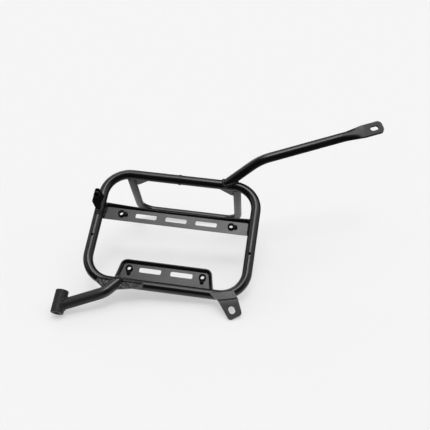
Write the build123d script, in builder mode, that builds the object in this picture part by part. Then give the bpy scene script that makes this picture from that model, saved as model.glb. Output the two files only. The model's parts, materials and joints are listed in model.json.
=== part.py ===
from build123d import *
import os
from math import cos, radians, sin, tan

os.makedirs("parts", exist_ok=True)

# Frame for one side pannier, in millimetres
# The origin is midway between the upper pair of bolts, on the face the pannier rests against
# X runs along the bike, Y points out from the bike towards the pannier, Z is up

# Bent tube loop
TUBE_D = 16.0
TUBE_WALL = 2.0
LOOP_WIDTH = 260.0
LOOP_HEIGHT = 194.0
LOOP_BEND = 42.0
LOOP_TOP = 73.0
VENT_D = 4.5
VENT_DROP = 48.0
SEAM_X = -5.0
SEAM_WIDTH = 5.0
SEAM_RISE = 0.8

# Pressed sheet that carries the bolts and straps
SHEET = 2.0
SHEET_BEND = 2.0
SHEET_EDGE = 0.75
SHEET_FLARE = 40.0
STRAP_SLOT = 36.0
STRAP_HEIGHT = 8.4
STRAP_CORNER = 2.5
UPPER_BOLT_IN = 37.0
UPPER_BOLTS = LOOP_WIDTH - 2 * UPPER_BOLT_IN
LOWER_BOLTS = 120.0
LOWER_RISE = 27.0
LOWER_DROP = LOOP_HEIGHT - LOOP_TOP - LOWER_RISE

# Bar across the loop at the height of the upper bolts
BAR_FOLD = 10.7
BAR_DROP = 11.7
BAR_LIP = 8.2
BAR_LIP_MIDDLE = 4.1
BAR_END_IN = 4.5
BAR_LENGTH = LOOP_WIDTH - 2 * BAR_END_IN
BAR_SLOT_PITCH = 51.0

# Plate standing on the lower tube
PLATE_TOP = 9.8
PLATE_TOP_WIDTH = 138.6
PLATE_SLANT = 12.2
PLATE_CORNER = 6.5
PLATE_RIM = 6.6
PLATE_FOOT = 4.0
PLATE_SLOT_PITCH = 51.4

# Keyhole grommets for the pannier bolts
KEY_HEAD = 9.4
KEY_LOBE = 4.4
KEY_SHIFT = 7.3
KEY_LIP = 1.1
GROMMET_STAND = 3.4
BOLT_HOLE = 6.4

# Hoop behind the top tube
HOOP_D = 13.5
HOOP_WALL = 1.6
HOOP_SPAN = 185.5
HOOP_REACH = 128.0
HOOP_BEND = 26.0
GUSSET = 3.0
GUSSET_RUN = 26.0
GUSSET_RISE = 25.0
GUSSET_TOE = 4.0

# Upper arm with its flattened end
ARM_ROOT_IN = 58.0
ARM_ELBOW_OUT = 54.9
ARM_ROOT_X = LOOP_WIDTH / 2 - ARM_ROOT_IN
ARM_ELBOW_X = ARM_ROOT_X + ARM_ELBOW_OUT
ARM_ELBOW_RISE = 34.7
ARM_FORWARD = 36.0
ARM_ANGLE = 24.7
ARM_REACH = 201.4
ARM_BEND = 60.0
PAD_WIDTH = 24.8
PAD_THICK = 4.0
PAD_TAPER = 38.0
PAD_BACK = 20.0
PAD_FRONT = 15.0
PAD_CORNER = 9.0
ARM_SLOT = 14.0
ARM_SLOT_HEIGHT = 9.0

# Lower arm and the boss at its end
STUB_D = 18.0
STUB_WALL = 2.5
STUB_ROOT_IN = 62.0
STUB_ROOT_X = STUB_ROOT_IN - LOOP_WIDTH / 2
STUB_ROOT_RISE = 3.0
STUB_ROOT_FORWARD = 4.0
STUB_ELBOW_OUT = 18.9
STUB_ELBOW_X = STUB_ROOT_X - STUB_ELBOW_OUT
STUB_ELBOW_DROP = 22.6
STUB_FORWARD = 10.0
STUB_ANGLE = 25.2
STUB_BEND = 30.0
BOSS_D = 20.6
BOSS_BORE = 9.0
BOSS_LENGTH = 37.0
BOSS_OUT = 66.8
BOSS_X = STUB_ELBOW_X - BOSS_OUT
BOSS_DROP = 47.5
BOSS_CHAMFER = 0.8

# Flat pieces on the front of the tubes are let into the tube a little for their welds
WELD_SINK = 0.25

# Gussets on either side of the lower arm
STUB_GUSSET = 2.0
STUB_GUSSET_FALL = 0.5
STUB_GUSSET_LEFT = 36.0
STUB_GUSSET_RIGHT = 39.0
STUB_GUSSET_DROP = 7.0
STUB_GUSSET_DEEP = 19.0

# Cranked tab below the right end of the lower tube, measured along and across its bend
TAB = 3.0
TAB_IN = 24.0
TAB_X = LOOP_WIDTH / 2 - TAB_IN
TAB_DROP = 7.7
TAB_TILT = 14.5
TAB_BEND = 4.0
TAB_STEP = 3.0
TAB_RISE = 12.4
TAB_LENGTH = 35.2
TAB_SHORT = 27.4
TAB_TOP = (-27.0, 11.0)
TAB_MIDDLE = (-15.5, 15.7)
TAB_END = (-1.1, 19.5)
TAB_CORNER = 5.5
TAB_SLOT = 13.0
TAB_SLOT_HEIGHT = 9.5
TAB_SLOT_SHIFT = 4.5
TAB_SLOT_DROP = 19.0
TAB_SLOT_ANGLE = -73.5

# Lug with a nut, leaning forward off the left tube
LUG = 3.0
LUG_ANGLE = 36.0
LUG_DROP = 3.2
LUG_STEM = 7.0
LUG_ROOT = 5.0
LUG_NECK = 11.4
LUG_LEFT = (-11.4, 12.7)
LUG_TIP = (-4.1, 35.2)
LUG_TIP_WIDTH = 6.1
LUG_RIGHT = (8.9, 22.3)
LUG_CORNER = 2.0
LUG_NUT = (-2.6, 26.0)
NUT_ACROSS = 10.0
NUT_HEIGHT = 5.0
NUT_BORE = 5.0
NUT_CHAMFER = 0.6

# Places that follow from the sizes above
tube_y = -TUBE_D / 2
loop_bottom = LOOP_TOP - LOOP_HEIGHT
tube_plane = Plane.XZ.offset(-tube_y)
front_plane = Plane.XZ.offset(TUBE_D)
hoop_plane = Plane.XY.offset(LOOP_TOP)

with BuildLine(tube_plane) as half_loop:
    FilletPolyline(
        (0, LOOP_TOP),
        (LOOP_WIDTH / 2, LOOP_TOP),
        (LOOP_WIDTH / 2, loop_bottom),
        (0, loop_bottom),
        radius=LOOP_BEND,
    )

# Loop bent from one tube, vented through the front wall of both side runs
with BuildPart() as main_loop:
    with BuildSketch(Plane(origin=half_loop.line @ 0, z_dir=half_loop.line % 0)):
        Circle(TUBE_D / 2)
        Circle(TUBE_D / 2 - TUBE_WALL, mode=Mode.SUBTRACT)
    sweep(path=half_loop.wire())
    mirror(about=Plane.YZ)
    with BuildSketch(front_plane):
        with Locations((-LOOP_WIDTH / 2, -VENT_DROP), (LOOP_WIDTH / 2, -VENT_DROP)):
            Circle(VENT_D / 2)
    extrude(amount=-TUBE_D / 2, mode=Mode.SUBTRACT)
main_loop.part.label = "main_loop"
export_step(main_loop.part, "parts/main_loop.step")

# Outside of the loop as a full bar, which copes every piece welded to it
with BuildPart() as loop_outside:
    with BuildSketch(Plane(origin=half_loop.line @ 0, z_dir=half_loop.line % 0)):
        Circle(TUBE_D / 2)
    sweep(path=half_loop.wire())
    mirror(about=Plane.YZ)

# Ring of weld where the two ends of the loop meet
with BuildPart() as loop_seam_weld:
    with BuildSketch(Plane.YZ.offset(SEAM_X)):
        with Locations((tube_y, LOOP_TOP)):
            Circle(TUBE_D / 2 + SEAM_RISE)
            Circle(TUBE_D / 2, mode=Mode.SUBTRACT)
    extrude(amount=SEAM_WIDTH / 2, both=True)
    rims = loop_seam_weld.edges().filter_by(GeomType.CIRCLE)
    fillet(rims.filter_by(lambda rim: rim.radius > TUBE_D / 2), SEAM_RISE * 0.9)
loop_seam_weld.part.label = "loop_seam_weld"
export_step(loop_seam_weld.part, "parts/loop_seam_weld.step")

# Hoop of thinner tube standing out behind the top tube
with BuildLine(hoop_plane) as hoop_path:
    FilletPolyline(
        (-HOOP_SPAN / 2, tube_y),
        (-HOOP_SPAN / 2, HOOP_REACH),
        (HOOP_SPAN / 2, HOOP_REACH),
        (HOOP_SPAN / 2, tube_y),
        radius=HOOP_BEND,
    )
with BuildPart() as rear_hoop:
    with BuildSketch(Plane(origin=hoop_path.line @ 0, z_dir=hoop_path.line % 0)):
        Circle(HOOP_D / 2)
        Circle(HOOP_D / 2 - HOOP_WALL, mode=Mode.SUBTRACT)
    sweep(path=hoop_path.wire())
    add(loop_outside.part, mode=Mode.SUBTRACT)
rear_hoop.part.label = "rear_hoop"
export_step(rear_hoop.part, "parts/rear_hoop.step")

# Triangular gussets inside the two roots of the hoop
for hand, place in ((-1, "left"), (1, "right")):
    leg_x = hand * HOOP_SPAN / 2
    inner_x = leg_x - hand * HOOP_D / 2
    with BuildPart() as hoop_gusset:
        with BuildSketch(hoop_plane):
            Polygon(
                (leg_x, tube_y),
                (leg_x, GUSSET_RISE),
                (inner_x - hand * GUSSET_TOE, GUSSET_RISE),
                (inner_x - hand * GUSSET_RUN, GUSSET_TOE),
                (inner_x - hand * GUSSET_RUN, tube_y),
                align=None,
            )
        extrude(amount=GUSSET / 2, both=True)
        add(loop_outside.part, mode=Mode.SUBTRACT)
        with BuildSketch(Plane.XZ):
            with Locations((leg_x, LOOP_TOP)):
                Circle(HOOP_D / 2)
        extrude(amount=HOOP_REACH, both=True, mode=Mode.SUBTRACT)
    hoop_gusset.part.label = f"hoop_gusset_{place}"
    export_step(hoop_gusset.part, f"parts/hoop_gusset_{place}.step")


# Outline of a keyhole: a round head with a smaller lobe along the sketch's own X
def keyhole(head, lobe):
    Circle(head / 2)
    with Locations((KEY_SHIFT / 2, 0)):
        SlotCenterToCenter(KEY_SHIFT, lobe)


# The upper lobes point along +X and the lower ones down
key_planes = {}
for hand, place in ((-1, "left"), (1, "right")):
    upper = (hand * UPPER_BOLTS / 2, 0, 0)
    lower = (hand * LOWER_BOLTS / 2, 0, -LOWER_DROP)
    key_planes[f"upper_{place}"] = Plane(origin=upper, x_dir=(1, 0, 0), z_dir=(0, -1, 0))
    key_planes[f"lower_{place}"] = Plane(origin=lower, x_dir=(0, 0, -1), z_dir=(0, -1, 0))

bar_fold = Vector(0, -SHEET / 2, BAR_FOLD)
lip_along = Vector(0, -cos(radians(SHEET_FLARE)), sin(radians(SHEET_FLARE)))
lip_end = bar_fold + lip_along * BAR_LIP
lip_plane = Plane(origin=bar_fold, x_dir=(1, 0, 0), z_dir=Vector(1, 0, 0).cross(lip_along))

# Bar between the side tubes, its top folded forward into a flared lip that is longer towards both ends
with BuildPart() as mid_bar:
    with BuildSketch(Plane.YZ):
        with BuildLine():
            FilletPolyline(
                (bar_fold.Y, -BAR_DROP),
                (bar_fold.Y, bar_fold.Z),
                (lip_end.Y, lip_end.Z),
                radius=SHEET_BEND,
            )
        trace(line_width=SHEET)
    extrude(amount=BAR_LENGTH / 2, both=True)
    with BuildSketch(lip_plane.offset(-SHEET)):
        with BuildLine():
            hollow = ThreePointArc(
                (-LOOP_WIDTH / 2, BAR_LIP),
                (0, BAR_LIP_MIDDLE),
                (LOOP_WIDTH / 2, BAR_LIP),
            )
            Polyline(
                hollow @ 1,
                (LOOP_WIDTH / 2, BAR_LIP + SHEET),
                (-LOOP_WIDTH / 2, BAR_LIP + SHEET),
                hollow @ 0,
            )
        make_face()
    extrude(amount=2 * SHEET, mode=Mode.SUBTRACT)
    lip_rim = mid_bar.faces().sort_by(Axis.Y)[0].edges()
    chamfer(lip_rim.filter_by(lambda rim: rim.length > BAR_LENGTH / 2), SHEET_EDGE / 2)
    with BuildSketch(Plane.XZ):
        with GridLocations(BAR_SLOT_PITCH, 0, 3, 1):
            RectangleRounded(STRAP_SLOT, STRAP_HEIGHT, STRAP_CORNER)
    extrude(amount=SHEET, mode=Mode.SUBTRACT)
    for place in ("upper_left", "upper_right"):
        with BuildSketch(key_planes[place]):
            keyhole(KEY_HEAD, KEY_LOBE)
        extrude(amount=SHEET, mode=Mode.SUBTRACT)
    add(loop_outside.part, mode=Mode.SUBTRACT)
mid_bar.part.label = "mid_bar"
export_step(mid_bar.part, "parts/mid_bar.step")

plate_top = -LOWER_DROP + PLATE_TOP
plate_foot = loop_bottom + PLATE_FOOT
rim_inset = SHEET * (1 / cos(radians(SHEET_FLARE)) - tan(radians(SHEET_FLARE)))


# Outline of the lower plate down to a given foot, its slanted sides spreading downwards
def plate_outline(foot):
    foot_half = PLATE_TOP_WIDTH / 2 + (plate_top - foot) * tan(radians(PLATE_SLANT))
    Polygon(
        (-foot_half, foot),
        (-PLATE_TOP_WIDTH / 2, plate_top),
        (PLATE_TOP_WIDTH / 2, plate_top),
        (foot_half, foot),
        align=None,
    )
    fillet(vertices().group_by(Axis.Y)[-1], PLATE_CORNER)


# Lower plate pressed as a shallow tray with a flared rim, open at the foot where it stands on the tube
with BuildPart() as lower_plate:
    with BuildSketch(Plane.XZ):
        plate_outline(plate_foot)
    extrude(amount=PLATE_RIM, taper=-SHEET_FLARE)
    back_rim = lower_plate.faces().sort_by(Axis.Y)[-1].edges()
    fillet(back_rim.filter_by(lambda rim: rim.center().Z > plate_foot + SHEET), SHEET_BEND + SHEET / 2)
    with BuildSketch(Plane.XZ.offset(SHEET)):
        plate_outline(plate_foot - 2 * SHEET)
        offset(amount=-rim_inset, mode=Mode.REPLACE)
    extrude(amount=PLATE_RIM, taper=-SHEET_FLARE, mode=Mode.SUBTRACT)
    floor_rim = lower_plate.faces().filter_by(Axis.Y).sort_by(Axis.Y)[-2].edges()
    fillet(floor_rim.filter_by(lambda rim: rim.center().Z > plate_foot + SHEET), SHEET_BEND - SHEET / 2)
    front_rim = lower_plate.faces().sort_by(Axis.Y)[0].edges()
    fillet(front_rim.filter_by(lambda rim: rim.center().Z > plate_foot + SHEET), SHEET_EDGE)
    with BuildSketch(Plane.XZ):
        with Locations((0, -LOWER_DROP)):
            with GridLocations(PLATE_SLOT_PITCH, 0, 2, 1):
                RectangleRounded(STRAP_SLOT, STRAP_HEIGHT, STRAP_CORNER)
    extrude(amount=SHEET, mode=Mode.SUBTRACT)
    for place in ("lower_left", "lower_right"):
        with BuildSketch(key_planes[place]):
            keyhole(KEY_HEAD, KEY_LOBE)
        extrude(amount=SHEET, mode=Mode.SUBTRACT)
    add(loop_outside.part, mode=Mode.SUBTRACT)
lower_plate.part.label = "lower_plate"
export_step(lower_plate.part, "parts/lower_plate.step")

# Rubber grommets that fill the keyholes and stand proud on the bike side
for place, plane in key_planes.items():
    with BuildPart() as grommet:
        with BuildSketch(plane):
            keyhole(KEY_HEAD, KEY_LOBE)
        extrude(amount=SHEET)
        with BuildSketch(plane.offset(SHEET)):
            keyhole(KEY_HEAD + 2 * KEY_LIP, KEY_LOBE + 2 * KEY_LIP)
        extrude(amount=GROMMET_STAND)
        fillet(grommet.faces().sort_by(Axis.Y)[0].edges(), KEY_LIP / 2)
        with BuildSketch(plane):
            Circle(BOLT_HOLE / 2)
        extrude(amount=SHEET + GROMMET_STAND, mode=Mode.SUBTRACT)
    grommet.part.label = f"grommet_{place}"
    export_step(grommet.part, f"parts/grommet_{place}.step")

# Upper arm: forward and up off the top tube, then level with the loop to a flattened end
arm_along = Vector(cos(radians(ARM_ANGLE)), 0, sin(radians(ARM_ANGLE)))
arm_across = Vector(-sin(radians(ARM_ANGLE)), 0, cos(radians(ARM_ANGLE)))
arm_root = Vector(ARM_ROOT_X, tube_y, LOOP_TOP)
arm_elbow = Vector(ARM_ELBOW_X, tube_y - ARM_FORWARD, LOOP_TOP + ARM_ELBOW_RISE)
arm_slot = arm_elbow + arm_along * ARM_REACH
pad_start = arm_slot - arm_along * PAD_BACK
taper_start = pad_start - arm_along * PAD_TAPER
pad_plane = Plane(origin=arm_slot, x_dir=arm_along, z_dir=(0, -1, 0))
with BuildLine() as arm_path:
    FilletPolyline(arm_root, arm_elbow, taper_start, radius=ARM_BEND)
with BuildPart() as upper_arm:
    with BuildSketch(Plane(origin=arm_path.line @ 0, z_dir=arm_path.line % 0)):
        Circle(TUBE_D / 2)
        Circle(TUBE_D / 2 - TUBE_WALL, mode=Mode.SUBTRACT)
    sweep(path=arm_path.wire())
    with BuildSketch(Plane(origin=taper_start, x_dir=arm_across, z_dir=arm_along)):
        Circle(TUBE_D / 2)
    with BuildSketch(Plane(origin=pad_start, x_dir=arm_across, z_dir=arm_along)):
        SlotOverall(PAD_WIDTH, PAD_THICK)
    loft()
    with BuildSketch(Plane(origin=pad_start, x_dir=arm_across, z_dir=arm_along)):
        SlotOverall(PAD_WIDTH, PAD_THICK)
    extrude(amount=PAD_BACK + PAD_FRONT)
    with BuildSketch(pad_plane):
        with Locations((PAD_FRONT, 0)):
            Rectangle(2 * PAD_CORNER, PAD_WIDTH)
        with Locations(((PAD_FRONT - PAD_BACK) / 2, 0)):
            RectangleRounded(PAD_BACK + PAD_FRONT, PAD_WIDTH, PAD_CORNER, mode=Mode.SUBTRACT)
    extrude(amount=PAD_THICK, both=True, mode=Mode.SUBTRACT)
    with BuildSketch(pad_plane):
        SlotOverall(ARM_SLOT, ARM_SLOT_HEIGHT)
    extrude(amount=PAD_THICK, both=True, mode=Mode.SUBTRACT)
    add(loop_outside.part, mode=Mode.SUBTRACT)
upper_arm.part.label = "upper_arm"
export_step(upper_arm.part, "parts/upper_arm.step")

# Lower arm: short bent stub off the front of the lower tube, down to the boss
boss_y = tube_y - STUB_FORWARD
boss_z = loop_bottom - BOSS_DROP
stub_root = Vector(STUB_ROOT_X, tube_y - STUB_ROOT_FORWARD, loop_bottom + STUB_ROOT_RISE)
stub_elbow = Vector(STUB_ELBOW_X, boss_y, loop_bottom - STUB_ELBOW_DROP)
stub_fall = (STUB_ELBOW_X - BOSS_X) * tan(radians(STUB_ANGLE))
stub_end = Vector(BOSS_X, boss_y, stub_elbow.Z - stub_fall)
with BuildLine() as stub_path:
    FilletPolyline(stub_root, stub_elbow, stub_end, radius=STUB_BEND)
stub_run = stub_path.edges().sort_by(Axis.X)[0]

# Outside of the stub as a full bar, which the gussets beside it are cut to
with BuildPart() as stub_outside:
    with BuildSketch(Plane(origin=stub_path.line @ 0, z_dir=stub_path.line % 0)):
        Circle(STUB_D / 2)
    sweep(path=stub_path.wire())

with BuildPart() as lower_arm:
    add(stub_outside.part)
    with BuildSketch(Plane(origin=stub_run @ 0, z_dir=stub_run % 0)):
        Circle(STUB_D / 2 - STUB_WALL)
    extrude(amount=stub_run.length, mode=Mode.SUBTRACT)
    with BuildSketch(Plane.XY.offset(boss_z)):
        with Locations((BOSS_X, boss_y)):
            Circle(BOSS_D / 2)
    extrude(amount=BOSS_LENGTH / 2, both=True, mode=Mode.SUBTRACT)
    add(loop_outside.part, mode=Mode.SUBTRACT)
    add(lower_plate.part, mode=Mode.SUBTRACT)
lower_arm.part.label = "lower_arm"
export_step(lower_arm.part, "parts/lower_arm.step")

# Upright boss bored for the bolt through the lower arm
with BuildPart() as arm_boss:
    with BuildSketch(Plane.XY.offset(boss_z)):
        with Locations((BOSS_X, boss_y)):
            Circle(BOSS_D / 2)
            Circle(BOSS_BORE / 2, mode=Mode.SUBTRACT)
    extrude(amount=BOSS_LENGTH / 2, both=True)
    chamfer(arm_boss.edges().filter_by(GeomType.CIRCLE), BOSS_CHAMFER)
arm_boss.part.label = "arm_boss"
export_step(arm_boss.part, "parts/arm_boss.step")

# Gussets from the lower tube to the two sides of the stub
gusset_top = loop_bottom - STUB_GUSSET_FALL
gusset_drop = loop_bottom - STUB_GUSSET_DROP
gusset_deep = loop_bottom - STUB_GUSSET_DEEP
for place, run in (("left", -STUB_GUSSET_LEFT), ("right", STUB_GUSSET_RIGHT)):
    end_x = STUB_ROOT_X + run
    with BuildPart() as arm_gusset:
        with BuildSketch(front_plane.offset(-WELD_SINK)):
            Polygon(
                (end_x, gusset_top),
                (STUB_ROOT_X, gusset_top),
                (STUB_ELBOW_X, gusset_deep),
                (end_x, gusset_drop),
                align=None,
            )
        extrude(amount=STUB_GUSSET)
        add(loop_outside.part, mode=Mode.SUBTRACT)
        add(stub_outside.part, mode=Mode.SUBTRACT)
    arm_gusset.part.label = f"arm_gusset_{place}"
    export_step(arm_gusset.part, f"parts/arm_gusset_{place}.step")

# Tab: flat on the tube, cranked forward at the bend, slotted below it
tab_along = Vector(cos(radians(TAB_TILT)), 0, sin(radians(TAB_TILT)))
tab_middle = Vector(TAB_X, -TUBE_D + WELD_SINK, loop_bottom - TAB_DROP)
tab_plane = Plane(origin=tab_middle, x_dir=tab_along, z_dir=(0, -1, 0))
tab_section = Plane(origin=tab_middle, x_dir=(0, 1, 0), z_dir=tab_along)
with BuildPart() as lower_tab:
    with BuildSketch(tab_section):
        with BuildLine():
            FilletPolyline(
                (-TAB / 2, TAB_RISE),
                (-TAB / 2, 0),
                (-TAB / 2 - TAB_STEP, -TAB_STEP),
                (-TAB / 2 - TAB_STEP, -TAB_LENGTH),
                radius=TAB_BEND,
            )
        trace(line_width=TAB)
    extrude(amount=LOOP_WIDTH / 4, both=True)
    with BuildSketch(tab_plane):
        Polygon(
            (TAB_TOP[0], TAB_RISE),
            (TAB_TOP[1], TAB_RISE),
            (TAB_MIDDLE[1], 0),
            (TAB_END[1], -TAB_SHORT),
            (TAB_END[0], -TAB_LENGTH),
            (TAB_MIDDLE[0], 0),
            align=None,
        )
        fillet(vertices().sort_by(Axis.Y)[:2], TAB_CORNER)
        with Locations(Location((TAB_SLOT_SHIFT, -TAB_SLOT_DROP, 0), (0, 0, TAB_SLOT_ANGLE))):
            SlotOverall(TAB_SLOT, TAB_SLOT_HEIGHT, mode=Mode.SUBTRACT)
    extrude(amount=TUBE_D, both=True, mode=Mode.INTERSECT)
    add(loop_outside.part, mode=Mode.SUBTRACT)
lower_tab.part.label = "lower_tab"
export_step(lower_tab.part, "parts/lower_tab.step")

# Lug: a kite of plate rising forward from the left tube
lug_foot = Vector(-LOOP_WIDTH / 2, -TUBE_D, -LUG_DROP)
lug_face = Vector(0, -cos(radians(LUG_ANGLE)), -sin(radians(LUG_ANGLE)))
lug_plane = Plane(origin=lug_foot, x_dir=(1, 0, 0), z_dir=lug_face)
with BuildPart() as nut_lug:
    with BuildSketch(lug_plane):
        Polygon(
            (-LUG_STEM / 2, -LUG_ROOT),
            (-LUG_STEM / 2, 0),
            LUG_LEFT,
            (LUG_TIP[0] - LUG_TIP_WIDTH / 2, LUG_TIP[1]),
            (LUG_TIP[0] + LUG_TIP_WIDTH / 2, LUG_TIP[1]),
            LUG_RIGHT,
            (LUG_STEM / 2, LUG_NECK),
            (LUG_STEM / 2, -LUG_ROOT),
            align=None,
        )
        fillet(vertices().sort_by(Axis.Y)[-4:], LUG_CORNER)
    extrude(amount=-LUG)
    add(loop_outside.part, mode=Mode.SUBTRACT)
nut_lug.part.label = "nut_lug"
export_step(nut_lug.part, "parts/nut_lug.step")

# Nut welded to the face of the lug, which closes its far end
with BuildPart() as lug_nut:
    with BuildSketch(lug_plane):
        with Locations(LUG_NUT):
            RegularPolygon(NUT_ACROSS / 2, 6, major_radius=False)
            Circle(NUT_BORE / 2, mode=Mode.SUBTRACT)
    extrude(amount=NUT_HEIGHT)
    outer_face = lug_nut.faces().filter_by(lambda face: face.normal_at().dot(lug_face) > 0.99)
    chamfer(outer_face.edges().filter_by(GeomType.LINE), NUT_CHAMFER)
lug_nut.part.label = "lug_nut"
export_step(lug_nut.part, "parts/lug_nut.step")
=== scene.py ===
import json
import math

import bpy
import bmesh
from mathutils import Matrix, Vector, noise


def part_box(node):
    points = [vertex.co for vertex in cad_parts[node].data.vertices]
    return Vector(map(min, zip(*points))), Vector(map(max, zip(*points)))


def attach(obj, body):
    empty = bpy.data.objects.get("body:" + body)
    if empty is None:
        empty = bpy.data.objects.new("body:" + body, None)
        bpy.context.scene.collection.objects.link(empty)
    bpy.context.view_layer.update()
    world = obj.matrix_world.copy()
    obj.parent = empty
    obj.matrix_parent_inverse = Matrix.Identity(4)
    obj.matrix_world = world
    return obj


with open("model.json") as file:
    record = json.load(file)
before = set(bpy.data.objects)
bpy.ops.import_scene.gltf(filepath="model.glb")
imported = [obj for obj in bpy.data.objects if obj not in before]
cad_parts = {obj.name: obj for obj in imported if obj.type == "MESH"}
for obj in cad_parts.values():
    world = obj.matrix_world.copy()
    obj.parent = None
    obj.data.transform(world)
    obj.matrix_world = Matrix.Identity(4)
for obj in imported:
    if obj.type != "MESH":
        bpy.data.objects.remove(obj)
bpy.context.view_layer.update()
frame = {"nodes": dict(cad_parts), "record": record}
nodes = frame["nodes"]

# Bent tubes: the loop, the hoop behind it and the upper arm are mild steel tube, bent cold on a
# former and coated after welding. The coat is black polyester powder, baked on, which leaves a
# satin skin with a fine pebble that breaks up every highlight. The arm's pressed pad is duller.
COAT_BLACK = "#070708"
COAT_BLACK_THIN = "#0B0B0C"
COAT_IOR = 1.5
COAT_PEBBLE_MM = 1.6
COAT_PEBBLE_DEPTH = 0.12
COAT_DRIFT_MM = 45.0
COAT_DRIFT_SPAN = (0.3, 0.7)
COAT_END_FADE = 0.012
TUBE_ROUGH = (0.27, 0.33)
TUBE_BUMP = 0.3
PAD_LENGTH = 0.042
PAD_ROUGH = 0.55
ALONG = Vector((1, 0, 0))


def linear(colour):
    channels = [int(colour[i:i + 2], 16) / 255 for i in (1, 3, 5)]
    return [c / 12.92 if c <= 0.04045 else ((c + 0.055) / 1.055) ** 2.4 for c in channels] + [1.0]


def add_node(tree, kind, inputs=None, **settings):
    node = tree.nodes.new(kind)
    for name, value in settings.items():
        setattr(node, name, value)
    for socket, value in (inputs or {}).items():
        if isinstance(value, bpy.types.NodeSocket):
            tree.links.new(value, node.inputs[socket])
        else:
            node.inputs[socket].default_value = value
    return node


def powder_coat(name, pebble_mm, rough, bump, depth=COAT_PEBBLE_DEPTH, end=None):
    material = bpy.data.materials.new(name)
    material.use_nodes = True
    tree = material.node_tree
    tree.nodes.clear()
    place = add_node(tree, "ShaderNodeTexCoord").outputs["Object"]
    pebble = add_node(tree, "ShaderNodeTexNoise", {
        "Vector": place, "Scale": 1000 / pebble_mm, "Detail": 2.0, "Roughness": 0.55,
    })
    drift = add_node(tree, "ShaderNodeTexNoise", {
        "Vector": place, "Scale": 1000 / COAT_DRIFT_MM, "Detail": 3.0, "Roughness": 0.6,
    })
    shade = add_node(tree, "ShaderNodeMix", {
        "Factor": drift.outputs["Fac"], "A": linear(COAT_BLACK), "B": linear(COAT_BLACK_THIN),
    }, data_type="RGBA")
    gloss = add_node(tree, "ShaderNodeMapRange", {
        "Value": drift.outputs["Fac"], "From Min": COAT_DRIFT_SPAN[0], "From Max": COAT_DRIFT_SPAN[1],
        "To Min": rough[0], "To Max": rough[1],
    })
    roughness = gloss.outputs["Result"]
    if end is not None:
        # One end of the piece has a shine of its own, past a place along the given direction
        way, start, end_rough = end
        reach = add_node(tree, "ShaderNodeVectorMath", {0: place, 1: way}, operation="DOT_PRODUCT")
        share = add_node(tree, "ShaderNodeMapRange", {
            "Value": reach.outputs["Value"], "From Min": start, "From Max": start + COAT_END_FADE,
        })
        roughness = add_node(tree, "ShaderNodeMix", {
            "Factor": share.outputs["Result"], "A": roughness, "B": end_rough,
        }).outputs[0]
    skin = add_node(tree, "ShaderNodeBump", {
        "Height": pebble.outputs["Fac"], "Strength": bump, "Distance": pebble_mm / 1000 * depth,
    })
    shader = add_node(tree, "ShaderNodeBsdfPrincipled", {
        "Base Color": shade.outputs[2], "Roughness": roughness, "Normal": skin.outputs["Normal"],
        "IOR": COAT_IOR,
    })
    add_node(tree, "ShaderNodeOutputMaterial", {"Surface": shader.outputs["BSDF"]})
    return material


def dress(node, material):
    slots = nodes[node].data.materials
    slots.clear()
    slots.append(material)


tube_coat = powder_coat("satin_powder_coat_on_tube", COAT_PEBBLE_MM, TUBE_ROUGH, TUBE_BUMP)
for node in ("main_loop", "rear_hoop"):
    dress(node, tube_coat)
pad_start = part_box("upper_arm")[1].x - PAD_LENGTH
dress("upper_arm", powder_coat(
    "satin_powder_coat_on_arm", COAT_PEBBLE_MM, TUBE_ROUGH, TUBE_BUMP, end=(ALONG, pad_start, PAD_ROUGH)))

# Folded sheet: the mid bar and the lower plate are pressed from 2 mm steel sheet and wear the
# same powder. On flat sheet it flows out a little more, so the pebble is wider.
SHEET_PEBBLE_MM = 2.0
SHEET_ROUGH = (0.29, 0.36)
SHEET_BUMP = 0.3
sheet_coat = powder_coat("satin_powder_coat_on_sheet", SHEET_PEBBLE_MM, SHEET_ROUGH, SHEET_BUMP)
for node in ("mid_bar", "lower_plate"):
    dress(node, sheet_coat)

# Brackets: the hoop's gussets and the lug are cut plate, and the lug carries a nut. All are steel,
# welded on before coating. The powder lies thicker on their cut edges and takes a coarser pebble.
BRACKET_PEBBLE_MM = 1.76
BRACKET_ROUGH = (0.30, 0.38)
BRACKET_BUMP = 0.35
bracket_coat = powder_coat("satin_powder_coat_on_plate", BRACKET_PEBBLE_MM, BRACKET_ROUGH, BRACKET_BUMP)
for node in ("hoop_gusset_left", "hoop_gusset_right", "nut_lug", "lug_nut"):
    dress(node, bracket_coat)

# Tab: a cranked steel plate welded to the front of the lower tube, below its right bend. The same
# powder is satin down to the fold, and duller below it, on the face that the bolt clamps.
TAB_TILT = math.radians(14.5)
TAB_FOLD_TO_SLOT = 0.019
TAB_ROUGH = (0.30, 0.36)
TAB_CLAMPED_ROUGH = 0.56
tab_down = Vector((math.sin(TAB_TILT), 0, -math.cos(TAB_TILT)))
tab_slot = next(mount for mount in frame["record"]["mounts"] if mount["name"] == "tab_slot")
tab_fold = Vector(tab_slot["pos_m"]).dot(tab_down) - TAB_FOLD_TO_SLOT
dress("lower_tab", powder_coat(
    "satin_powder_coat_on_tab", BRACKET_PEBBLE_MM, TAB_ROUGH, BRACKET_BUMP,
    end=(tab_down, tab_fold, TAB_CLAMPED_ROUGH)))

# Lower arm: a short bent stub of thicker steel tube, with a turned boss welded to its end. Its
# powder coat is duller than on the loop and the hoop, and shines only near its root.
STUB_ROUGH = (0.54, 0.64)
STUB_BUMP = 0.45
STUB_ROOT_LENGTH = 0.034
STUB_ROOT_ROUGH = 0.28
dress("arm_boss", powder_coat("dull_powder_coat_on_stub", COAT_PEBBLE_MM, STUB_ROUGH, STUB_BUMP))
root_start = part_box("lower_arm")[1].x - STUB_ROOT_LENGTH
dress("lower_arm", powder_coat(
    "dull_powder_coat_on_arm", COAT_PEBBLE_MM, STUB_ROUGH, STUB_BUMP,
    end=(ALONG, root_start, STUB_ROOT_ROUGH)))

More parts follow.
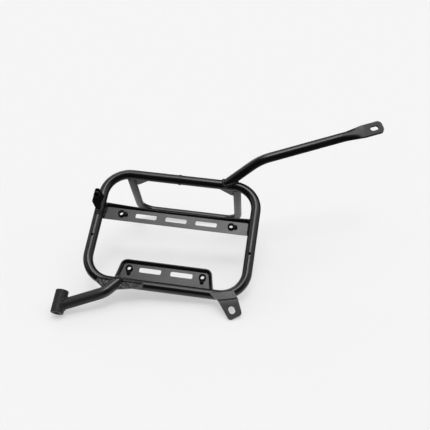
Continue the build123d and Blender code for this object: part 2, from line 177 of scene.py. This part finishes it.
# Arm gussets: two cut steel plates that stiffen the lower arm's root, welded to the tube and the
# arm. Spatter from the welds lies under the powder, so the shine breaks up in coarse lumps.
SPATTER_MM = 4.5
SPATTER_DEPTH = 0.36
SPATTER_ROUGH = (0.30, 0.40)
SPATTER_BUMP = 1.0
gusset_coat = powder_coat(
    "powder_coat_over_weld_spatter", SPATTER_MM, SPATTER_ROUGH, SPATTER_BUMP, depth=SPATTER_DEPTH)
for node in ("arm_gusset_left", "arm_gusset_right"):
    dress(node, gusset_coat)

# Grommets: moulded black rubber keyhole grommets, pressed into the sheet. Rubber is duller and
# darker than the coat around it, with a faint bloom that dulls the shine in patches.
RUBBER_BLACK = "#050505"
RUBBER_BLOOM = "#0B0B0B"
RUBBER_ROUGH = (0.8, 0.95)
RUBBER_IOR = 1.3
BLOOM_MM = 3.0
rubber = bpy.data.materials.new("moulded_black_rubber")
rubber.use_nodes = True
tree = rubber.node_tree
tree.nodes.clear()
place = add_node(tree, "ShaderNodeTexCoord").outputs["Object"]
bloom = add_node(tree, "ShaderNodeTexNoise", {"Vector": place, "Scale": 1000 / BLOOM_MM, "Detail": 4.0})
shade = add_node(tree, "ShaderNodeMix", {
    "Factor": bloom.outputs["Fac"], "A": linear(RUBBER_BLACK), "B": linear(RUBBER_BLOOM),
}, data_type="RGBA")
gloss = add_node(tree, "ShaderNodeMapRange", {
    "Value": bloom.outputs["Fac"], "To Min": RUBBER_ROUGH[0], "To Max": RUBBER_ROUGH[1],
})
shader = add_node(tree, "ShaderNodeBsdfPrincipled", {
    "Base Color": shade.outputs[2], "Roughness": gloss.outputs["Result"], "IOR": RUBBER_IOR,
})
add_node(tree, "ShaderNodeOutputMaterial", {"Surface": shader.outputs["BSDF"]})
for corner in ("upper_left", "upper_right", "lower_left", "lower_right"):
    dress("grommet_" + corner, rubber)

# Weld beads: steel, laid by hand before coating, a row of overlapping ripples with a rounded crown
# along each seam. The powder covers them like the tube, and gathers in the ripples, which are
# drawn about twice as coarse as real ones, because those are too fine to show.
WELD_PEBBLE_MM = 1.28
WELD_ROUGH = (0.36, 0.46)
WELD_BUMP = 0.6
WELD_RIPPLE_MM = 3.6
WELD_STEP_MM = 0.3
WELD_SIDES = 10
WELD_VALLEY = 0.84
WELD_CROWN = 0.30
WELD_UNEVEN = 0.16
WELD_WANDER_MM = 3.0
WELD_STRAY = 0.12
WELD_TIP = 0.4
WELD_SEED = 7
weld_coat = powder_coat("satin_powder_coat_on_weld", WELD_PEBBLE_MM, WELD_ROUGH, WELD_BUMP)
dress("loop_seam_weld", weld_coat)
# Left unseeded, the noise starts from the clock and the beads come out different on each run
noise.seed_set(WELD_SEED)


def weld_bead(name, path_mm, radius_mm):
    corners = [Vector(point) for point in path_mm]
    points = [corners[0]]
    for a, b in zip(corners, corners[1:]):
        steps = max(1, round((b - a).length / WELD_STEP_MM))
        points += [a.lerp(b, (i + 1) / steps) for i in range(steps)]
    runs = [0.0]
    for a, b in zip(points, points[1:]):
        runs.append(runs[-1] + (b - a).length)
    # Rings of points round the seam, which swell with each ripple and taper at both ends
    side = (points[1] - points[0]).orthogonal().normalized()
    vertices = []
    for i, point in enumerate(points):
        ahead = (points[min(i + 1, len(points) - 1)] - points[max(i - 1, 0)]).normalized()
        side = (side - ahead * side.dot(ahead)).normalized()
        across = ahead.cross(side)
        wander = noise.noise_vector(point / WELD_WANDER_MM)
        swell = abs(math.sin(math.pi * runs[i] / WELD_RIPPLE_MM))
        ripple = WELD_VALLEY + WELD_CROWN * swell + WELD_UNEVEN * wander.x
        end = min(runs[i], runs[-1] - runs[i]) / radius_mm
        size = radius_mm * ripple * min(1.0, WELD_TIP + (1 - WELD_TIP) * end)
        middle = point + wander * radius_mm * WELD_STRAY
        for k in range(WELD_SIDES):
            turn = 2 * math.pi * k / WELD_SIDES
            vertices.append((middle + (side * math.cos(turn) + across * math.sin(turn)) * size) / 1000)
    faces = [tuple(reversed(range(WELD_SIDES))), tuple(range(len(vertices) - WELD_SIDES, len(vertices)))]
    for i in range(len(points) - 1):
        for k in range(WELD_SIDES):
            first, second = i * WELD_SIDES + k, i * WELD_SIDES + (k + 1) % WELD_SIDES
            faces.append((first, second, second + WELD_SIDES, first + WELD_SIDES))
    mesh = bpy.data.meshes.new(name)
    mesh.from_pydata(vertices, [], faces)
    mesh.polygons.foreach_set("use_smooth", [True] * len(mesh.polygons))
    mesh.materials.append(weld_coat)
    bead = bpy.data.objects.new(name, mesh)
    bpy.context.collection.objects.link(bead)
    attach(bead, "root")


# Coped seams: where a round tube meets another, its end is cut to fit and welded all the way
# round, down in the corner between the two. The arms, the hoop and the boss are joined so.
SEAM_COUNT = 72
HANDS = ((-1, "left"), (1, "right"))
ARM_ROOT_X_MM = 72
ARM_WAY = (54.9, -36.0, 34.7)
ARM_BEAD_MM = 2.5
HOOP_BEAD_MM = 1.5
STUB_R_MM = 9.0
STUB_ROOT_X_MM = -68
STUB_ROOT_FORWARD_MM = 4
STUB_ROOT_RISE_MM = 3
STUB_WAY = (-18.9, -6.0, -25.6)
STUB_BEAD_MM = 1.8
STUB_END_Z_MM = -175.0
STUB_END_WAY = (0.905, 0, 0.426)
BOSS_BEAD_MM = 1.7


def box_mm(node):
    return [Vector(corner) * 1000 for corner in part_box(node)]


def coped_seam(start, way, branch_r, axis_point, axis_way, main_r):
    way = Vector(way).normalized()
    start, axis_point, axis_way = Vector(start), Vector(axis_point), Vector(axis_way)
    side = way.orthogonal().normalized()
    across = way.cross(side)
    flat = way - axis_way * way.dot(axis_way)
    seam = []
    for i in range(SEAM_COUNT + 1):
        turn = 2 * math.pi * i / SEAM_COUNT
        point = start + (side * math.cos(turn) + across * math.sin(turn)) * branch_r
        off = point - axis_point
        off -= axis_way * off.dot(axis_way)
        # Distance along the branch to the main tube's surface, from a quadratic
        a, b, c = flat.length_squared, off.dot(flat), off.length_squared - main_r ** 2
        seam.append(point + way * max(0.0, (math.sqrt(max(0.0, b * b - a * c)) - b) / a))
    return seam


loop_low, loop_high = box_mm("main_loop")
tube_r = (loop_high.y - loop_low.y) / 2
tube_y = loop_low.y + tube_r
top_z, low_z, side_x = loop_high.z - tube_r, loop_low.z + tube_r, loop_high.x - tube_r
hoop_low, hoop_high = box_mm("rear_hoop")
hoop_r = (hoop_high.z - hoop_low.z) / 2
leg_x = hoop_high.x - hoop_r
boss_low, boss_high = box_mm("arm_boss")
boss_middle = (boss_low + boss_high) / 2
boss_r = (boss_high.x - boss_low.x) / 2
top_axis = (0, tube_y, top_z)
low_axis = (0, tube_y, low_z)
weld_bead("weld_upper_arm", coped_seam(
    (ARM_ROOT_X_MM, tube_y, top_z), ARM_WAY, tube_r, top_axis, ALONG, tube_r), ARM_BEAD_MM)
for hand, side_name in HANDS:
    weld_bead("weld_hoop_" + side_name, coped_seam(
        (hand * leg_x, tube_y, top_z), (0, 1, 0), hoop_r, top_axis, ALONG, tube_r), HOOP_BEAD_MM)
stub_root = (STUB_ROOT_X_MM, tube_y - STUB_ROOT_FORWARD_MM, low_z + STUB_ROOT_RISE_MM)
weld_bead("weld_lower_arm", coped_seam(stub_root, STUB_WAY, STUB_R_MM, low_axis, ALONG, tube_r), STUB_BEAD_MM)
stub_end = (boss_middle.x, boss_middle.y, STUB_END_Z_MM)
weld_bead("weld_boss", coped_seam(
    stub_end, STUB_END_WAY, STUB_R_MM, boss_middle, (0, 0, 1), boss_r), BOSS_BEAD_MM)

# Sheet welds: the mid bar's ends are welded to the side tubes down the front, over the lip and
# behind. The lower plate stands on the lower tube, held by stitches and by a run at each side.
FLARE_SLOPE = math.tan(math.radians(40))
EDGE_STOP_MM = 0.3
EDGE_PROUD_MM = 0.2
BAR_FRONT_Y_MM = (-2.6, -4.2, -5.8)
BAR_FRONT_IN_MM = 1.6
BAR_FRONT_FOOT_MM = 0.8
BAR_FRONT_UNDER_MM = 1.6
BAR_FRONT_BEAD_MM = 2.3
BAR_TOP_Y_MM = (-1.6, -3.0, -4.6)
BAR_TOP_BACK_MM = 1.0
BAR_TOP_BEAD_MM = 1.3
BAR_BACK_Y_MM = -1.4
BAR_BACK_OUT_MM = 0.4
BAR_BACK_FOOT_MM = 1
BAR_BACK_HEAD_MM = 7
BAR_BACK_BEAD_MM = 1.2
PLATE_SIDE_Y_MM = (-4.8, -3.0, -1.2)
PLATE_BEAD_MM = 1.5
STITCH_X_MM = (-50, 0, 50)
STITCH_HALF_MM = 9
STITCH_Y_MM = -2.5
bar_low, bar_high = box_mm("mid_bar")
plate_low, plate_high = box_mm("lower_plate")


def tube_rise(y):
    return math.sqrt(max(0.0, tube_r ** 2 - (y - tube_y) ** 2))


for hand, side_name in HANDS:
    web_y = BAR_FRONT_Y_MM[0]
    front = [(hand * (side_x - tube_rise(web_y) - BAR_FRONT_IN_MM), web_y, bar_low.z + BAR_FRONT_FOOT_MM)]
    for y in (*BAR_FRONT_Y_MM, bar_low.y + EDGE_STOP_MM):
        lip_z = bar_high.z - BAR_FRONT_UNDER_MM + FLARE_SLOPE * (bar_low.y - y)
        front.append((hand * (side_x - tube_rise(y) - BAR_FRONT_IN_MM), y, lip_z))
    weld_bead("weld_bar_front_" + side_name, front, BAR_FRONT_BEAD_MM)
    top = []
    for y in (*BAR_TOP_Y_MM, bar_low.y + BAR_TOP_BACK_MM + EDGE_PROUD_MM):
        lip_z = bar_high.z + EDGE_PROUD_MM + FLARE_SLOPE * (bar_low.y + BAR_TOP_BACK_MM - y)
        top.append((hand * (side_x - tube_rise(y)), y, lip_z))
    weld_bead("weld_bar_top_" + side_name, top, BAR_TOP_BEAD_MM)
    back_x = hand * (bar_high.x + BAR_BACK_OUT_MM)
    weld_bead("weld_bar_back_" + side_name, [
        (back_x, BAR_BACK_Y_MM, bar_low.z + BAR_BACK_FOOT_MM),
        (back_x, BAR_BACK_Y_MM, bar_high.z - BAR_BACK_HEAD_MM)], BAR_BACK_BEAD_MM)
    foot = []
    for y in (plate_low.y + EDGE_STOP_MM, *PLATE_SIDE_Y_MM):
        rim_x = plate_high.x - EDGE_PROUD_MM + FLARE_SLOPE * (plate_low.y - y)
        foot.append((hand * rim_x, y, low_z + tube_rise(y) + EDGE_PROUD_MM))
    weld_bead("weld_plate_side_" + side_name, foot, PLATE_BEAD_MM)
stitch_z = low_z + tube_rise(STITCH_Y_MM)
for count, middle in enumerate(STITCH_X_MM):
    stitch = [(middle + run, STITCH_Y_MM, stitch_z) for run in (-STITCH_HALF_MM, STITCH_HALF_MM)]
    weld_bead("weld_plate_stitch_%d" % (count + 1), stitch, PLATE_BEAD_MM)

# Bracket welds: along both legs of each hoop gusset, above and below, along the upper edges of the
# arm's gussets and of the tab, and in three passes round the tube at the foot of the lug.
HOOP_GUSSET_PROUD_MM = 0.4
HOOP_GUSSET_Y_MM = 0.4
HOOP_GUSSET_TUCK_MM = 0.3
HOOP_GUSSET_TOE_MM = 1
HOOP_GUSSET_BEAD_MM = 1.3
ARM_GUSSET_TOE_MM = 1.5
ARM_GUSSET_DEEP_MM = 0.9
ARM_GUSSET_PROUD_MM = 0.6
ARM_GUSSET_BEAD_MM = 2.1
TAB_WELD_TOE_MM = 1.0
TAB_WELD_RUN_MM = 36.0
TAB_WELD_Y_MM = -16.9
TAB_WELD_LOW_Z_MM = -123.2
TAB_WELD_FALL_MM = 0.2
TAB_BEAD_MM = 1.6
LUG_PASSES_MM = (0.0, 2.6, 5.2)
LUG_ARC_DEG = range(-48, 55, 6)
LUG_BEAD_MM = 1.6
gusset_low, gusset_high = box_mm("hoop_gusset_right")
gusset_top = gusset_high.z + HOOP_GUSSET_PROUD_MM
gusset_under = gusset_low.z - HOOP_GUSSET_PROUD_MM
for hand, side_name in HANDS:
    inner = hand * (leg_x - hoop_r + HOOP_GUSSET_TUCK_MM)
    for level, z in (("top", gusset_top), ("under", gusset_under)):
        weld_bead("weld_hoop_gusset_%s_%s" % (side_name, level), [
            (hand * (gusset_low.x + HOOP_GUSSET_TOE_MM), HOOP_GUSSET_Y_MM, z),
            (inner, HOOP_GUSSET_Y_MM, z),
            (inner, gusset_high.y - HOOP_GUSSET_TOE_MM, z)], HOOP_GUSSET_BEAD_MM)
    low, high = box_mm("arm_gusset_" + side_name)
    seam_y, seam_z = low.y + ARM_GUSSET_DEEP_MM, high.z + ARM_GUSSET_PROUD_MM
    weld_bead("weld_arm_gusset_" + side_name, [
        (low.x + ARM_GUSSET_TOE_MM, seam_y, seam_z),
        (high.x - ARM_GUSSET_TOE_MM, seam_y, seam_z)], ARM_GUSSET_BEAD_MM)
tab_low, tab_high = box_mm("lower_tab")
weld_bead("weld_tab", [
    (tab_low.x + TAB_WELD_TOE_MM, TAB_WELD_Y_MM, TAB_WELD_LOW_Z_MM),
    (tab_low.x + TAB_WELD_RUN_MM, TAB_WELD_Y_MM, tab_high.z - TAB_WELD_FALL_MM)], TAB_BEAD_MM)
lug_foot = box_mm("nut_lug")[0].z
lug_arc = [math.radians(turn) for turn in LUG_ARC_DEG]
for count, fall in enumerate(LUG_PASSES_MM):
    weld_bead("weld_lug_%d" % (count + 1), [
        (-side_x + tube_r * math.sin(turn), tube_y - tube_r * math.cos(turn), lug_foot - fall)
        for turn in lug_arc], LUG_BEAD_MM)

# Floor: a pale seamless paper that the frame lies on, touching the boss, the tab and the hoop. It
# glows a little, which keeps the shadows light. In the coat's reflections it fades with distance,
# and it shows only its upper face, so the views from behind look past it.
FLOOR_UP = Vector((-0.085, -0.838, 0.538)).normalized()
FLOOR_HALF = 6.0
PAPER_GREY = "#949494"
PAPER_GLOW = 0.450
MIRRORED_NEAR = 0.06
MIRRORED_FAR = 0.22
MIRRORED_GLOW = (1.0, 0.02)
lowest = min(FLOOR_UP.dot(v.co) for node in nodes.values() for v in node.data.vertices)
floor_mesh = bpy.data.meshes.new("floor")
floor_bm = bmesh.new()
bmesh.ops.create_grid(floor_bm, x_segments=1, y_segments=1, size=FLOOR_HALF)
floor_bm.to_mesh(floor_mesh)
floor_bm.free()
floor = bpy.data.objects.new("floor", floor_mesh)
bpy.context.collection.objects.link(floor)
floor_turn = FLOOR_UP.to_track_quat("Z", "Y").to_matrix().to_4x4()
floor.matrix_world = Matrix.Translation(FLOOR_UP * lowest) @ floor_turn
paper = bpy.data.materials.new("pale_seamless_paper")
paper.use_nodes = True
tree = paper.node_tree
tree.nodes.clear()
sheet = add_node(tree, "ShaderNodeBsdfDiffuse", {"Color": linear(PAPER_GREY)})
glow = add_node(tree, "ShaderNodeEmission", {"Strength": PAPER_GLOW})
lit = add_node(tree, "ShaderNodeAddShader", {0: sheet.outputs[0], 1: glow.outputs[0]})
ray = add_node(tree, "ShaderNodeLightPath")
fade = add_node(tree, "ShaderNodeMapRange", {
    "Value": ray.outputs["Ray Length"], "From Min": MIRRORED_NEAR, "From Max": MIRRORED_FAR,
    "To Min": MIRRORED_GLOW[0], "To Max": MIRRORED_GLOW[1],
})
mirrored = add_node(tree, "ShaderNodeEmission", {"Strength": fade.outputs["Result"]})
upper_face = add_node(tree, "ShaderNodeMixShader", {
    0: ray.outputs["Is Glossy Ray"], 1: lit.outputs[0], 2: mirrored.outputs[0],
})
clear = add_node(tree, "ShaderNodeBsdfTransparent")
below = add_node(tree, "ShaderNodeNewGeometry").outputs["Backfacing"]
sides = add_node(tree, "ShaderNodeMixShader", {0: below, 1: upper_face.outputs[0], 2: clear.outputs[0]})
add_node(tree, "ShaderNodeOutputMaterial", {"Surface": sides.outputs[0]})
floor.data.materials.append(paper)
floor.visible_shadow = False

# Studio light: a broad softbox over the front draws the bright line along each tube, and a small
# one lower down lights the flat sheet. Two at the sides, one at the top and one behind give weaker
# lines. The room is pale to look at and dark in the coat's reflections.
STUDIO_LIGHTS = {
    "softbox_over": (Vector((0.10, -0.72, 0.69)), 56, 1.60),
    "softbox_near": (Vector((-0.02, -0.913, 0.407)), 24, 0.85),
    "softbox_left": (Vector((-0.88, -0.35, 0.32)), 60, 0.60),
    "softbox_right": (Vector((0.88, -0.35, 0.32)), 60, 0.60),
    "softbox_top": (Vector((-0.50, 0.10, 0.86)), 32, 0.65),
    "softbox_back": (Vector((-0.30, 0.85, 0.43)), 60, 1.2),
}
for name, (way, spread, strength) in STUDIO_LIGHTS.items():
    softbox = bpy.data.lights.new(name, "SUN")
    softbox.angle = math.radians(spread)
    softbox.energy = strength
    softbox_object = bpy.data.objects.new(name, softbox)
    bpy.context.collection.objects.link(softbox_object)
    softbox_object.rotation_euler = way.to_track_quat("Z", "Y").to_euler()

ROOM_WHITE = "#F5F5F5"
ROOM_DOME = 0.6
ROOM_MIRRORED = 0.004
ROOM_BACKDROP = 1.0
room = bpy.data.worlds.new("room")
bpy.context.scene.world = room
room.use_nodes = True
tree = room.node_tree
tree.nodes.clear()
dome, walls, backdrop = [
    add_node(tree, "ShaderNodeBackground", {"Color": linear(ROOM_WHITE), "Strength": strength})
    for strength in (ROOM_DOME, ROOM_MIRRORED, ROOM_BACKDROP)
]
ray = add_node(tree, "ShaderNodeLightPath")
around = add_node(tree, "ShaderNodeMixShader", {
    0: ray.outputs["Is Glossy Ray"], 1: dome.outputs[0], 2: walls.outputs[0],
})
seen = add_node(tree, "ShaderNodeMixShader", {
    0: ray.outputs["Is Camera Ray"], 1: around.outputs[0], 2: backdrop.outputs[0],
})
add_node(tree, "ShaderNodeOutputWorld", {"Surface": seen.outputs[0]})
bpy.context.scene.view_settings.view_transform = "Standard"

# Camera: looks down on the frame where it lies on the floor, rolled a little, as the photograph
# was taken. In the part's own frame that is from low in front.
EYE = Vector((0.1790, -0.9913, -0.4313))
LOOK = Vector((-0.1059, 0.9053, 0.4114)).normalized()
UP = Vector((-0.1166, -0.4222, 0.8990))
SENSOR_MM = 36.0
LENS_MM = 54.82
right = LOOK.cross(UP).normalized()
up = right.cross(LOOK)
camera_data = bpy.data.cameras.new("camera")
camera_data.sensor_width = SENSOR_MM
camera_data.lens = LENS_MM
camera = bpy.data.objects.new("camera", camera_data)
bpy.context.collection.objects.link(camera)
camera.matrix_world = Matrix.Translation(EYE) @ Matrix((right, up, -LOOK)).transposed().to_4x4()
bpy.context.scene.camera = camera
